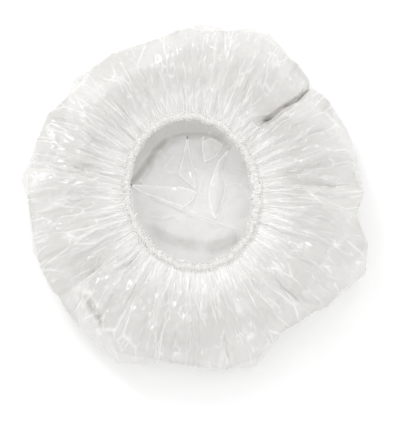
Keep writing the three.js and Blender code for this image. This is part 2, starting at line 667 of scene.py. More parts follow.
@dataclass(frozen=True)
class YarnFinish:
    """Matt off-white sewing yarn, fuzzy between its turns."""

    name: str
    colour: Colour = (0.84, 0.832, 0.81)
    shade: Colour = (0.78, 0.77, 0.745)
    patches: Range = (420.0, 1.6)
    shade_share: float = 0.45
    fibres: float = 1800.0
    fibre_rise: float = 0.12 * MM
    roughness: float = 0.8
    sheen: float = 0.3
    sheen_roughness: float = 0.5

    def material(self) -> bpy.types.Material:
        """Builds the yarn's material.

        Returns:
            The material.
        """
        material, shader = new_material(self.name)
        board = NodeBoard(material.node_tree)
        place = board.add("TexCoord").outputs["Object"]
        cloud = board.mottled(place, *self.patches)
        light = board.math("SUBTRACT", cloud, self.shade_share, clamp=True)
        fibres = board.add("TexNoise", {"Vector": place, "Scale": self.fibres, "Detail": 2.0}).outputs["Fac"]
        bump = board.add("Bump", {"Strength": 1.0, "Distance": self.fibre_rise, "Height": fibres})
        board.feed(shader["Base Color"], board.mix(light, self.shade, self.colour))
        board.feed(shader["Normal"], bump.outputs["Normal"])
        shader["Roughness"].default_value = self.roughness
        shader["Sheen Weight"].default_value = self.sheen
        shader["Sheen Roughness"].default_value = self.sheen_roughness
        return material


@dataclass(frozen=True)
class FloorFinish:
    """A plain matt white painted surface."""

    white: Colour = (0.93, 0.93, 0.93)

    def material(self) -> bpy.types.Material:
        """Builds the floor's material.

        Returns:
            The material.
        """
        material, shader = new_material("plain_floor")
        shader["Base Color"].default_value = (*self.white, 1)
        shader["Roughness"].default_value = 1.0
        shader["Specular IOR Level"].default_value = 0.0
        return material


# ----------------------------------------------------------------------------------------- shapes of the CAD


class BandLine:
    """The elastic's oval, read from its CAD node."""

    STEP = 3.0
    NEAR = math.radians(4)

    def __init__(self, node: Piece) -> None:
        """Reads the oval's middle line, its height, and half its width and thickness.

        Args:
            node: the CAD band.
        """
        points = read_points(node)
        angles = np.arctan2(points[:, 1], points[:, 0])
        reaches = np.hypot(points[:, 0], points[:, 1])
        self.turns = np.radians(np.arange(0, 360, self.STEP))
        near = [reaches[np.abs(signed(angles - turn)) < self.NEAR] for turn in self.turns]
        self.middles = np.array([(some.min() + some.max()) / 2 for some in near])
        self.half_width = float(np.mean([(some.max() - some.min()) / 2 for some in near]))
        low, high = points[:, 2].min(), points[:, 2].max()
        self.level = float((low + high) / 2)
        self.half_height = float((high - low) / 2)

    def reach(self, turn: Array) -> Array:
        """Gives the distance from the axis to the elastic's middle line, in directions in radians."""
        return np.interp(turn % FULL_TURN, self.turns, self.middles, period=FULL_TURN)


class CapShape:
    """The outer skin of the CAD film, as one line for each direction from the crown's middle to the hem."""

    DIRECTIONS = 360
    POINTS = 80
    # Rays start from beyond the skin, and the underside's and the top's stop just short of the rim.
    OUTSIDE = 0.25
    UNDERNEATH = -0.05
    OVERHEAD = 0.1
    SHORT_OF_RIM = 0.985
    RIM_HEIGHTS = (12 * MM, 42 * MM, 31)
    BELOW_COUNT = 34
    ABOVE_COUNT = 30
    PAST_BAND = 0.5 * MM
    HEM_DROP = 1 * MM

    def __init__(self, skin: Piece, band: BandLine) -> None:
        """Reads the lines off the skin.

        Args:
            skin: the CAD film.
            band: the elastic's oval, where the lines end.
        """
        self.faces = faces_of(skin)
        self.band = band
        lines, below, above = [], [], []
        for turn in np.arange(self.DIRECTIONS) * FULL_TURN / self.DIRECTIONS:
            underside, top = self.read_line(turn)
            below.append(self.steps(underside).sum())
            above.append(self.steps(top).sum())
            lines.append(np.concatenate([self.even(underside), self.even(top)[1:]]))
        self.lines = np.array(lines)
        self.below = float(np.mean(below))
        self.above = float(np.mean(above))

    def hit(self, start: Sequence[float], way: Sequence[float]) -> Vector | None:
        """Gives the first point of the skin that a ray meets."""
        return self.faces.ray_cast(Vector(start), Vector(way))[0]

    def read_line(self, turn: float) -> tuple[Array, Array]:
        """Reads one direction.

        Args:
            turn: the direction in radians.

        Returns:
            The underside's points and the top's, each (reach, height), which meet at the rim.
        """
        c, s = math.cos(turn), math.sin(turn)
        rim = (0.0, 0.0)
        for height in np.linspace(*self.RIM_HEIGHTS):
            found = self.hit((self.OUTSIDE * c, self.OUTSIDE * s, height), (-c, -s, 0))
            if found and found.x * c + found.y * s > rim[0]:
                rim = (found.x * c + found.y * s, height)
        underside = []
        for share in np.linspace(0, self.SHORT_OF_RIM, self.BELOW_COUNT):
            reach = rim[0] * share
            underside.append((reach, self.hit((reach * c, reach * s, self.UNDERNEATH), (0, 0, 1)).z))
        inner = float(self.band.reach(turn))
        outside = inner + self.band.half_width + self.PAST_BAND
        top = []
        for share in np.linspace(self.SHORT_OF_RIM, 0, self.ABOVE_COUNT):
            reach = outside + (rim[0] - outside) * share
            top.append((reach, self.hit((reach * c, reach * s, self.OVERHEAD), (0, 0, -1)).z))
        hem = (inner, self.band.level - self.HEM_DROP)
        return np.array([*underside, rim]), np.array([rim, *top, hem])

    @staticmethod
    def steps(line: Array) -> Array:
        """Gives the lengths of a line's steps."""
        return np.hypot(*np.diff(line, axis=0).T)

    def even(self, line: Array) -> Array:
        """Gives a line again with its points at even steps.

        Args:
            line: one row for each point.

        Returns:
            The new points.
        """
        walked = np.concatenate([[0], np.cumsum(self.steps(line))])
        even = np.linspace(0, walked[-1], self.POINTS)
        return np.stack([np.interp(even, walked, line[:, k]) for k in (0, 1)], axis=1)

    def share(self, depth: Array) -> Array:
        """Turns a distance from the hem along the film into a share, from 2 there to 1 at the rim and 0."""
        return np.where(depth < self.above, 2 - depth / self.above, 1 - (depth - self.above) / self.below)

    def place(self, turn: Array, share: Array) -> Array:
        """Gives the (reach, height) of points of the skin.

        Args:
            turn: their directions in radians.
            share: their shares of the line, from share().

        Returns:
            One row for each point.
        """
        across = turn / FULL_TURN * self.DIRECTIONS
        one = np.floor(across).astype(int)
        part = (across - one)[:, None]
        onward = np.clip(share / 2, 0, 1) * (self.lines.shape[1] - 1)
        step = np.minimum(np.floor(onward).astype(int), self.lines.shape[1] - 2)
        rest = (onward - step)[:, None]
        found = []
        for line in (one % self.DIRECTIONS, (one + 1) % self.DIRECTIONS):
            found.append(self.lines[line, step] * (1 - rest) + self.lines[line, step + 1] * rest)
        return found[0] * (1 - part) + found[1] * part

    def outward(self, turn: Array, share: Array, apart: float = 0.02) -> Array:
        """Gives the outward normals, (reach, height), of points of the skin.

        Args:
            turn: their directions in radians.
            share: their shares of the line, from share().
            apart: how far before and after each point the line's slope is taken, as a share.

        Returns:
            One row for each point.
        """
        way = self.place(turn, np.clip(share + apart, 0, 2)) - self.place(turn, np.clip(share - apart, 0, 2))
        way /= np.linalg.norm(way, axis=1)[:, None] + 1e-12
        return np.stack([way[:, 1], -way[:, 0]], axis=1)

    def on_skin(self, turn: Array, depth: Array) -> tuple[Array, Array]:
        """Gives points of the smooth skin and its outward normals there.

        Args:
            turn: the points' directions in radians.
            depth: their distances from the hem along the film.

        Returns:
            The places and the normals, one row each.
        """
        share = self.share(depth)
        place, outward = self.place(turn, share), self.outward(turn, share)
        return round_axis(turn, place[:, 0], place[:, 1]), round_axis(turn, outward[:, 0], outward[:, 1])


# ----------------------------------------------------------------------------------- what the film is made of


@dataclass(frozen=True)
class PleatFamily:
    """Pleats of one size. They start near the hem and two of one family run into one of the next.

    They are `every` columns apart, and as high as `rise` times the spread at each distance from the hem, in
    millimetres. Each ridge has its own strength and reach, and some are weak.
    """

    every: int
    rise: float
    spread: Profile
    strength: Range
    weak: float
    reach: Range
    reach_every: int

    def wave(self, column: Array) -> Array:
        """Gives each column's height in the zigzag: 1 on its ridges and -1 in the valleys between them."""
        share = np.mod(column, self.every) / self.every
        return 1 - 4 * np.minimum(share, 1 - share)


@dataclass(frozen=True)
class Tuck:
    """A deep fold from the rim in towards the hem, with one lip that leans over it.

    Its two ends are at directions in degrees. It fades out towards the inner and the outer distance from the
    hem, and at the rim it has a share of its depth.
    """

    at_rim: float
    at_hem: float
    depth: float
    width: float
    lean: float
    inner: float
    rim_share: float
    outer: float = 118 * MM
    full_from: float = 1.8
    full_to: float = 0.75

    def shift(self, turn: Array, depth: Array, reach: Array, above: float) -> tuple[Array, Array]:
        """Works out what the tuck does to points.

        Args:
            turn: the points' directions in radians.
            depth: their distances from the hem along the film.
            reach: their distances from the axis.
            above: the mean distance from the hem to the rim.

        Returns:
            How far each point goes in, and how far it leans over sideways.
        """
        at = np.radians(self.at_hem + (self.at_rim - self.at_hem) * np.clip(depth / above, 0, 1))
        side = signed(turn - at) * reach
        full = [(self.inner * self.full_from, 1), (above * self.full_to, 1)]
        spread = along(depth, [(self.inner, 0), *full, (above, self.rim_share), (self.outer, 0)])
        drop = self.depth * spread * np.exp(-np.abs(side / self.width) ** 1.5)
        lip = np.exp(-(((side - self.width) / self.width) ** 2))
        return drop, -self.lean * spread * lip


@dataclass(frozen=True)
class CrownFlap:
    """A fold of the crown's film that lies over on it, in millimetres.

    It domes up to a rise within a slope's width of its edge. The edge rolls down by a depth over a width, and
    has a painted highlight over a width of its own.
    """

    outline: Line
    rise: float
    slope: float
    lift: float = 0.2
    roll: Range = (0.5, 0.7)
    painted_highlight_width: float = 0.8


@dataclass(frozen=True)
class CrownCrease:
    """A sharp ridge along a line on the crown, in millimetres, with a narrow painted highlight along its
    edge.
    """

    line: Line
    rise: float
    width: float
    white: float = 0.5
    painted_highlight_width: float = 0.7


@dataclass(frozen=True)
class PaintedFoldShade:
    """Painted shade where the film lies deep in a fold: grey along a line at some distances from the hem."""

    line: Line
    width: float
    grey: float
    depths: Range = (140, 260)


@dataclass(frozen=True)
class CreaseScatter:
    """Many sharp creases of one kind, strewn over the puffed top, in millimetres and degrees.

    Each one starts at a distance from the elastic, runs outward give or take an angle, and bends along its
    length. Its film rises steeply on one side and gently on the other.
    """

    count: int
    start: Range
    length: Range
    astray: float
    bend: float
    rise: Range
    steep: Range
    gentle: Range


class FacetKind(Enum):
    """How a layer of facets is laid."""

    FLATTENED = "the skin itself becomes flat between the facets' corners"
    ADDED = "the facets' heights are added, round the cap and along the film"
    ON_GROUND = "the facets' heights are added, over the ground under the crown"


@dataclass(frozen=True)
class FacetLayer:
    """Flat facets of one size between strewn corners, in millimetres.

    Their corners lie about `across` and `onward` apart, up to `rise` high or low, and as far out as `proud`
    says at their distance from the hem. `spread` is the layer's strength at each such distance.
    """

    kind: FacetKind
    across: float
    onward: float
    rise: float
    spread: Profile
    proud: Profile = ((0, 0), (1, 0))

    # A layer round the cap takes a direction in radians as this many millimetres.
    ROUND = 100
    # How far a corner strays from its even place, as a share of the step to the next.
    ASTRAY = 0.42

    @property
    def extent(self) -> tuple[float, float, float, float]:
        """Tells where the corners lie: their start, how wide they reach, and their lowest and highest."""
        ground = self.kind is FacetKind.ON_GROUND
        return (-100, 200, -100, 100) if ground else (0, FULL_TURN * self.ROUND, 0, 200)

    def strew(self, chance: np.random.Generator) -> tuple[Array, Array, list[list[int]]]:
        """Strews the corners of the facets.

        Args:
            chance: the source of the random places and heights.

        Returns:
            The corners' places and their heights, and the triangles between them.
        """
        start, wide, lowest, highest = self.extent
        count = round(wide / self.across)
        corners, heights = [], []
        for row, v in enumerate(np.arange(lowest - self.onward, highest + 2 * self.onward, self.onward)):
            stray = chance.uniform(-self.ASTRAY, self.ASTRAY, count)
            u = start + (np.arange(count) + 0.5 * (row % 2) + stray) * wide / count
            v = v + chance.uniform(-self.ASTRAY, self.ASTRAY, count) * self.onward
            h = chance.uniform(-1, 1, count) * self.rise + along(v, self.proud)
            for turned in (-wide, 0, wide):
                near = np.abs(u + turned - start - wide / 2) < wide / 2 + 3 * self.across
                corners.append(np.stack([u[near] + turned, v[near]], axis=1))
                heights.append(h[near])
        spots, tall = np.concatenate(corners), np.concatenate(heights)
        found = delaunay_2d_cdt([Vector(spot) for spot in spots.tolist()], [], [], 0, SAME_SPOT)
        first = np.array([origin[0] for origin in found[3]])
        return spots[first], tall[first], found[2]

    def carry(self, spots: Array, values: Array, triangles: list[list[int]], places: Array) -> Array:
        """Carries values evenly across the triangles between corners.

        Args:
            spots: the corners' places.
            values: one row of values for each corner.
            triangles: three corners each.
            places: where the values are wanted.

        Returns:
            One row of values for each place.
        """
        start, wide, *_ = self.extent
        around = start + (places[:, 0] - start) % wide
        order = np.argsort(around)
        u, v = around[order], places[order, 1]
        result = np.zeros((len(places), values.shape[1]))
        for a, b, c in triangles:
            low, high = np.searchsorted(u, (spots[[a, b, c], 0].min(), spots[[a, b, c], 0].max()))
            if low == high:
                continue
            ab, ac = spots[b] - spots[a], spots[c] - spots[a]
            area = ab[0] * ac[1] - ab[1] * ac[0]
            du, dv = u[low:high] - spots[a, 0], v[low:high] - spots[a, 1]
            share_b, share_c = (du * ac[1] - dv * ac[0]) / area, (dv * ab[0] - du * ab[1]) / area
            within = (share_b >= 0) & (share_c >= 0) & (share_b + share_c <= 1)
            share_b, share_c = share_b[within, None], share_c[within, None]
            risen = values[a] + share_b * (values[b] - values[a]) + share_c * (values[c] - values[a])
            result[order[low:high][within]] = risen
        return result


def off_line(points: Array, line: Array | Line, closed: bool = False) -> tuple[Array, Array]:
    """Measures how far points are from a line of corners.

    Args:
        points: their X and Y.
        line: the corners.
        closed: whether the last corner is joined to the first.

    Returns:
        Each point's distance, and its share of the way along the line.
    """
    line = np.array(line)
    ends = np.roll(line, -1, axis=0) if closed else line[1:]
    starts = line if closed else line[:-1]
    best, share = np.full(len(points), np.inf), np.zeros(len(points))
    for k, (start, end) in enumerate(zip(starts, ends)):
        way = end - start
        part = np.clip((points - start) @ way / (way @ way), 0, 1)
        distance = np.linalg.norm(points - start - part[:, None] * way, axis=1)
        nearer = distance < best
        best[nearer] = distance[nearer]
        share[nearer] = (k + part[nearer]) / len(starts)
    return best, share


def side_of(points: Array, line: Array) -> Array:
    """Tells which side of a line of corners points are on.

    Args:
        points: their X and Y.
        line: the corners.

    Returns:
        A number for each point, positive on the line's left.
    """
    middles = (line[:-1] + line[1:]) / 2
    nearest = np.linalg.norm(points[:, None] - middles[None], axis=2).argmin(axis=1)
    way = (line[1:] - line[:-1])[nearest]
    off = points - middles[nearest]
    return way[:, 0] * off[:, 1] - way[:, 1] * off[:, 0]


def inside(points: Array, outline: Array) -> Array:
    """Tells which points lie inside an outline.

    Args:
        points: their X and Y.
        outline: its corners.

    Returns:
        A truth value for each point.
    """
    within = np.zeros(len(points), bool)
    for (x0, y0), (x1, y1) in zip(outline, np.roll(outline, -1, axis=0)):
        if y0 == y1:
            continue
        crosses = (points[:, 1] < y0) != (points[:, 1] < y1)
        within ^= crosses & (points[:, 0] < (x1 - x0) * (points[:, 1] - y0) / (y1 - y0) + x0)
    return within


@dataclass(frozen=True)
class Buckling:
    """A cloth simulation in which the film grows while its hem, rim and crown are held.

    `hold` and `grow` are shares at distances from the hem in millimetres.
    """

    frames: int = 12
    growth: float = 0.006
    quality: int = 5
    mass: float = 0.05
    stretching: float = 15
    shearing: float = 5
    bending: float = 0.02
    damping: float = 5
    bend_damping: float = 0.5
    air_damping: float = 1
    hold: Profile = ((0, 1), (1.5, 1), (1.6, 0), (70, 0), (82, 0.3), (100, 0.3), (118, 0))
    grow: Profile = ((0, 0.3), (12, 0.7), (25, 1), (70, 1), (88, 0.6), (110, 0.8))
    # The flat crown is held, less and less towards its edge.
    crown_height: float = 12 * MM
    crown_depth: float = 100
    crown_edge: float = 0.105
    crown_fade: float = 0.045

    def run(self, sheet: Piece, depth: Array) -> None:
        """Runs the simulation and keeps its result in the mesh.

        Args:
            sheet: the film.
            depth: each point's distance from the hem, in millimetres.
        """
        points = read_points(sheet)
        reach = np.hypot(points[:, 0], points[:, 1])
        flat = (points[:, 2] < self.crown_height) & (depth > self.crown_depth)
        crown = np.where(flat, np.clip((self.crown_edge - reach) / self.crown_fade, 0, 1), 0)
        self.weigh(sheet, "hold", np.maximum(crown, along(depth, self.hold)))
        self.weigh(sheet, "grow", along(depth, self.grow))
        cloth = sheet.modifiers.new("Cloth", "CLOTH")
        settings = cloth.settings
        settings.quality = self.quality
        settings.mass = self.mass / len(points)
        settings.tension_stiffness = settings.compression_stiffness = self.stretching
        settings.shear_stiffness = self.shearing
        settings.bending_stiffness = self.bending
        settings.tension_damping = settings.compression_damping = settings.shear_damping = self.damping
        settings.bending_damping = self.bend_damping
        settings.air_damping = self.air_damping
        settings.vertex_group_mass = "hold"
        settings.vertex_group_shrink = "grow"
        settings.shrink_min, settings.shrink_max = 0, -self.growth
        settings.pin_stiffness = 1
        cloth.collision_settings.use_collision = False
        cloth.point_cache.frame_start, cloth.point_cache.frame_end = 1, self.frames + 1
        for step in range(1, self.frames + 1):
            bpy.context.scene.frame_set(step)
        select_only(sheet)
        bpy.ops.object.modifier_apply(modifier=cloth.name)
        bpy.context.scene.frame_set(1)
        sheet.vertex_groups.clear()

    def weigh(self, sheet: Piece, name: str, weights: Array) -> None:
        """Makes a vertex group.

        Args:
            sheet: the film.
            name: the group's name.
            weights: one for each point, kept in steps of a tenth.
        """
        group = sheet.vertex_groups.new(name=name)
        steps = np.round(weights * 10).astype(int)
        for step in range(1, 11):
            members = np.nonzero(steps == step)[0]
            if len(members):
                group.add(members.tolist(), step / 10, "REPLACE")


# ------------------------------------------------------------------------------------------------- the film


@dataclass(frozen=True)
class Columns:
    """What each column of the first mesh keeps from ring to ring.

    These are its two shifts round the cap in radians, its pleats' lean, and for each family of pleats its
    height in the zigzag, its strength and its reach.
    """

    drift: Array
    turn_out: Array
    lean: Array
    waves: list[Array]
    strengths: list[Array]
    reaches: list[Array]


@dataclass
class Film:
    """The film: a disc of thin plastic, its edge gathered on the elastic.

    Its profiles are in millimetres from the hem, and its lines on the crown are in millimetres.
    """

    flat_width: float = 480 * MM
    flat_area: float = 0.181
    columns: int = 384
    seed: int = 3
    lowest: float = 0.3 * MM
    # The rings of the first mesh: their distances from the hem, and below the rim their shares of the way
    # from the crown's middle, listed by how many columns share one point there.
    rings_near_hem: tuple[float, ...] = (0, 2, 4.2, 6.8, 9.8, 13.2, 17.2, 21.6)
    rings_on_top: tuple[float, ...] = (26, 30.5, 35.5, 40.5, 45.5, 51, 56.5, 62, 67.5, 73, 79, 84.5)
    rings_below: dict[int, tuple[float, ...]] = field(
        default_factory=lambda: {
            2: (1.0, 0.945, 0.885, 0.82),
            4: (0.75, 0.68, 0.61, 0.55, 0.50, 0.455, 0.41, 0.37, 0.33, 0.29, 0.25, 0.21),
            8: (0.17, 0.125, 0.08),
        }
    )
    drift_slope: float = 0.35
    drift_share: Profile = ((0, 1), (120, 1), (200, 0.3))
    turn_out_slope: float = 0.25
    turn_out_share: Profile = ((0, 0), (90, 1))
    column_scatter: Profile = ((0, 0), (10, 0.12), (40, 0.26), (75, 0.26), (90, 0.18), (190, 0.1))
    ring_scatter: Profile = ((0, 0), (6, 0.1), (30, 0.1), (220, 0.3))
    pleat_lean: Profile = ((0, 0), (4, 0.9), (14, 1.2), (30, 1.2), (60, 0.3), (90, 0))
    lean_size: float = 1.2
    frill: Range = (1.5 * MM, 3.0 * MM)
    frill_spread: float = 0.5
    families: tuple[PleatFamily, ...] = (
        PleatFamily(2, 1.4 * MM, ((0, 0.5), (2, 0.7), (9, 0.65), (16, 0)), (0.6, 1.3), 0.05, (0.75, 1.4), 4),
        PleatFamily(
            4, 1.25 * MM, ((4, 0), (12, 1), (20, 1), (32, 0.3), (44, 0)), (0.5, 1.5), 0.12, (0.6, 1.5), 8
        ),
        PleatFamily(
            8, 2.0 * MM, ((12, 0), (24, 1), (36, 0.7), (55, 0.2), (70, 0)), (0.1, 1.8), 0.3, (0.6, 1.4), 16
        ),
        PleatFamily(16, 1.5 * MM, ((26, 0), (44, 1), (60, 0.6), (80, 0)), (0.1, 1.9), 0.3, (0.7, 1.15), 32),
    )
    rumple: Profile = ((0, 0), (18, 0.03), (35, 0.08), (84, 0.08), (100, 0.2), (150, 0.4), (190, 0.2))
    tucks: tuple[Tuck, ...] = (
        Tuck(43, 50, 17 * MM, 8 * MM, 13 * MM, 20 * MM, 0.25),
        Tuck(4, 1, 5 * MM, 6 * MM, 3 * MM, 30 * MM, 0.25),
        Tuck(168, 173, 6 * MM, 7 * MM, 4 * MM, 30 * MM, 0.25),
        Tuck(218, 225, 8 * MM, 7 * MM, 5 * MM, 25 * MM, 0.25),
        Tuck(315, 311, 5 * MM, 7 * MM, 4 * MM, 30 * MM, 0.2),
    )
    buckling: Buckling = Buckling()
    # Where triangles are split a second time: past the tight pleats, but not on the side's hidden part.
    fine_from: float = 19 * MM
    hidden_side: Range = (30 * MM, 78 * MM)
    scatters: tuple[CreaseScatter, ...] = (
        CreaseScatter(36, (8, 60), (18, 46), 22, 14, (0.8, 1.8), (1.2, 1.8), (6, 12)),
        CreaseScatter(60, (16, 66), (7, 16), 70, 60, (0.6, 1.2), (1.1, 1.6), (3, 6)),
    )
    clear_of_hem: float = 8 * MM
    facets: tuple[FacetLayer, ...] = (
        FacetLayer(
            FacetKind.FLATTENED,
            15,
            25,
            1.5,
            ((14, 0), (34, 1), (150, 1), (170, 0)),
            ((30, 0), (88, 12), (110, 7), (150, 0)),
        ),
        FacetLayer(
            FacetKind.ADDED,
            9,
            18,
            0.9,
            ((12, 0), (28, 0.7), (45, 1), (64, 0.8), (78, 0.15), (104, 0.15), (120, 0.5), (165, 0)),
        ),
        FacetLayer(FacetKind.ON_GROUND, 18, 18, 1.8, ((150, 0), (170, 1))),
        FacetLayer(FacetKind.ON_GROUND, 7, 7, 0.3, ((150, 0), (165, 1))),
    )
    # The crown's own creases fade out between two distances from the axis, in millimetres.
    crown_depth: float = 150 * MM
    crown_fade: Range = (60, 78)
    creases: tuple[CrownCrease, ...] = (
        CrownCrease(
            ((-43.3, 8.5), (-24, 0.4), (-8.1, -6.5), (10.1, -13.4), (21.4, -18), (44.1, -24.9)), 1.1, 3.0
        ),
        CrownCrease(((-38, 5.2), (-20, -2.6), (-4, -9.5), (12, -16.6), (24, -21)), 0.6, 1.6),
        CrownCrease(((-44, 20), (-38, 12), (-33, 4)), 0.6, 1.6),
        CrownCrease(((27, 14), (36, 15.5), (46, 12)), 0.6, 1.8),
        CrownCrease(((-36, -12), (-24, -14), (-12, -11)), 0.5, 2.4),
        CrownCrease(((-14, 40), (-22, 30), (-27, 17)), 0.6, 2.0),
        CrownCrease(((8, 22), (6, 8), (9, -6)), 0.6, 2.0),
    )
    # Painted shade along lines where the film lies deep in folds, in millimetres.
    painted_fold_shades: tuple[PaintedFoldShade, ...] = (
        PaintedFoldShade(((-53, 15), (-46, 29), (-38, 44), (-26, 56), (-10, 62), (8, 63), (26, 57)), 13, 0.36),
        PaintedFoldShade(((-54, 14), (-46, 20), (-39, 30), (-31, 43), (-20, 53), (-6, 57)), 8, 0.85),
        PaintedFoldShade(((-24, 52), (-8, 57), (10, 57), (23, 52), (31, 43)), 6, 0.7),
        PaintedFoldShade(((-32, -23), (-20, -31), (-4, -35), (10, -36)), 7, 0.35),
        PaintedFoldShade(((14, -38), (28, -35), (40, -27)), 7, 0.5),
        PaintedFoldShade(((94, 85), (80, 74), (66, 65), (54, 57)), 2.8, 0.95, (20, 92)),
        PaintedFoldShade(((-86, -82), (-75, -98), (-63, -113)), 8, 0.8, (55, 200)),
    )
    # Above the crown's film and below the gathered top's.
    above_crown: float = 14 * MM
    flaps: tuple[CrownFlap, ...] = (
        CrownFlap(
            ((-4.1, 56), (-6.4, 47), (-8.4, 37), (-12.6, 22.8), (-4, 15), (3.8, 9), (2.4, 20))
            + ((-0.5, 33), (-2.8, 45)),
            1.8,
            3,
        ),
        CrownFlap(
            ((31.6, 46.4), (26.8, 36.5), (25.2, 28), (25.4, 21), (28.0, 14.2), (26.5, 3.9), (23.0, -7))
            + ((18.5, -15.5), (15.0, -8.6), (12.9, 3.9), (13.5, 13.1), (17.0, 25.0), (21.5, 35.5)),
            2.3,
            4,
        ),
        CrownFlap(
            ((7.2, 51), (7.2, 43), (9.5, 33.2), (15, 34.5), (20.3, 38.3), (25.4, 47.6), (16, 54)), 2.0, 5
        ),
        CrownFlap(
            ((-52, 14.4), (-37.6, 14), (-24, 13.0), (-12.6, 13.3), (-4, 11.4), (4.2, 8.0), (0, 0))
            + ((-8, -5.5), (-24, 0.6), (-43, 8.0)),
            1.2,
            5,
        ),
    )
    finish: FilmFinish = FilmFinish()

    def build(self, shape: CapShape) -> Piece:
        """Makes the film.

        Args:
            shape: the outer skin of the CAD film.

        Returns:
            The piece, in place and dressed.
        """
        self.chance = np.random.default_rng(self.seed)
        sheet = self.first_mesh(shape)
        self.subdivide(sheet, np.ones(len(sheet.data.vertices), bool))
        self.buckling.run(sheet, self.depths(sheet) / MM)
        self.lift(sheet)
        depth = self.depths(sheet)
        hidden = (depth >= shape.above + self.hidden_side[0]) & (depth <= shape.above + self.hidden_side[1])
        self.subdivide(sheet, (depth > self.fine_from) & ~hidden)
        self.soften(sheet)
        self.crease(sheet, shape)
        self.facet(sheet, shape)
        self.fold_crown(sheet)
        self.lift(sheet)
        self.shade(sheet)
        sheet = self.lay_flaps(sheet)
        sheet.data.materials.append(self.finish.material())
        shade_smooth(sheet)
        return sheet

    # First mesh

    def wander(self, slope: float, slowest: int = 3, quickest: int = 59) -> Array:
        """Drifts the columns to and fro, so that the pleats aren't evenly spaced.

        Args:
            slope: how much closer or wider apart they get, as a share.
            slowest: the number of waves round the cap of the slowest drift.
            quickest: the number of waves of the quickest.

        Returns:
            Each column's shift, in radians.
        """
        turn = np.arange(self.columns) * FULL_TURN / self.columns
        drift = sum(
            np.sin(waves * turn + self.chance.uniform(0, FULL_TURN)) * self.chance.normal() / waves**0.5
            for waves in range(slowest, quickest + 1)
        )
        return drift * slope / np.sqrt((np.gradient(drift, turn) ** 2).mean())

    def uneven(self, every: int, low: float, high: float, weak: float = 0.0) -> Array:
        """Gives each column a factor, chosen at each ridge and passing evenly from one to the next.

        Args:
            every: the columns from one ridge to the next.
            low: the least factor.
            high: the greatest factor.
            weak: the share of the ridges that get a quarter of theirs.

        Returns:
            The factors.
        """
        count = self.columns // every
        values = self.chance.uniform(low, high, count)
        values[self.chance.random(count) < weak] *= 0.25
        ridges = np.append(np.arange(count) * every, self.columns)
        return np.interp(np.arange(self.columns), ridges, np.append(values, values[0]))

    def first_mesh(self, shape: CapShape) -> Piece:
        """Lays out the sheet with a point on each pleat's ridges and valleys.

        Args:
            shape: the outer skin of the CAD film.

        Returns:
            The sheet.
        """
        families = self.families
        waves = [family.wave(np.arange(self.columns)) for family in families]
        strengths = [self.uneven(family.every, *family.strength, family.weak) for family in families]
        reaches = [self.uneven(family.reach_every, *family.reach) for family in families]
        drift, turn_out = self.wander(self.drift_slope), self.wander(self.turn_out_slope)
        lean = self.wander(1.0)
        columns = Columns(drift, turn_out, lean / np.abs(lean).max(), waves, strengths, reaches)
        rings = [(depth * MM, 1) for depth in self.rings_near_hem]
        rings += [(depth * MM, 2) for depth in self.rings_on_top]
        for every, shares in self.rings_below.items():
            rings += [(shape.above + (1 - share) * shape.below, every) for share in shares]
        laid = self.frill_rings(shape, drift)
        for k, (depth, every) in enumerate(rings):
            room = (rings[min(k + 1, len(rings) - 1)][0] - rings[max(k - 1, 0)][0]) / 2
            laid.append(self.lay_ring(shape, columns, depth, every, room))
        counts = [len(points) for points, _ in laid]
        middle = np.array([[0, 0, self.lowest]]), np.array([[0, 0, shape.above + shape.below]])
        points, gathers = (np.concatenate(rows) for rows in zip(*laid, middle))
        return self.mesh_of_rings(points, gathers, counts)

    def lay_ring(
        self, shape: CapShape, columns: Columns, depth: float, every: int, room: float
    ) -> tuple[Array, Array]:
        """Lays out the points of one ring.

        Args:
            shape: the outer skin of the CAD film.
            columns: what each column keeps from ring to ring.
            depth: the ring's distance from the hem along the film.
            every: how many columns share one point.
            room: the mean distance to the rings beside it.

        Returns:
            The places and the gather attribute's values.
        """
        picked = np.arange(self.columns)[::every]
        count = len(picked)
        mm = depth / MM
        turn = picked * FULL_TURN / self.columns + columns.drift[picked] * along(mm, self.drift_share)
        turn = turn + columns.turn_out[picked] * along(mm, self.turn_out_share)
        turn = turn + self.chance.uniform(-1, 1, count) * along(mm, self.column_scatter) * FULL_TURN / count
        at_rim = abs(depth - shape.above) < 0.1 * MM
        ragged = 0.0 if at_rim else along(mm, self.ring_scatter)
        depths = depth + self.chance.uniform(-1, 1, count) * ragged * room
        share = shape.share(depths)
        spot, out = shape.place(turn, share), shape.outward(turn, share)
        rise = np.zeros(count)
        pleats = zip(self.families, columns.waves, columns.strengths, columns.reaches)
        for family, wave, strength, reach in pleats:
            spread = along(depths / MM / reach[picked], family.spread)
            rise += family.rise * wave[picked] * strength[picked] * spread
        rise += self.chance.normal(0, 1, count) * along(mm, self.rumple) * MM
        finest = list(zip(self.families, columns.waves))[:2]
        ridge = sum(wave[picked] * along(mm, family.spread) for family, wave in finest)
        lean = along(mm, self.pleat_lean) * self.lean_size * MM * columns.lean[picked] * np.maximum(ridge, 0)
        for tuck in self.tucks:
            drop, shove = tuck.shift(turn, depths, spot[:, 0], shape.above)
            rise -= drop
            lean = lean + shove
        reach = spot[:, 0] + out[:, 0] * rise
        height = np.maximum(spot[:, 1] + out[:, 1] * rise, self.lowest)
        c, s = np.cos(turn), np.sin(turn)
        points = np.stack([reach * c - s * lean, reach * s + c * lean, height], axis=1)
        return points, np.stack([c, s, depths], axis=1)

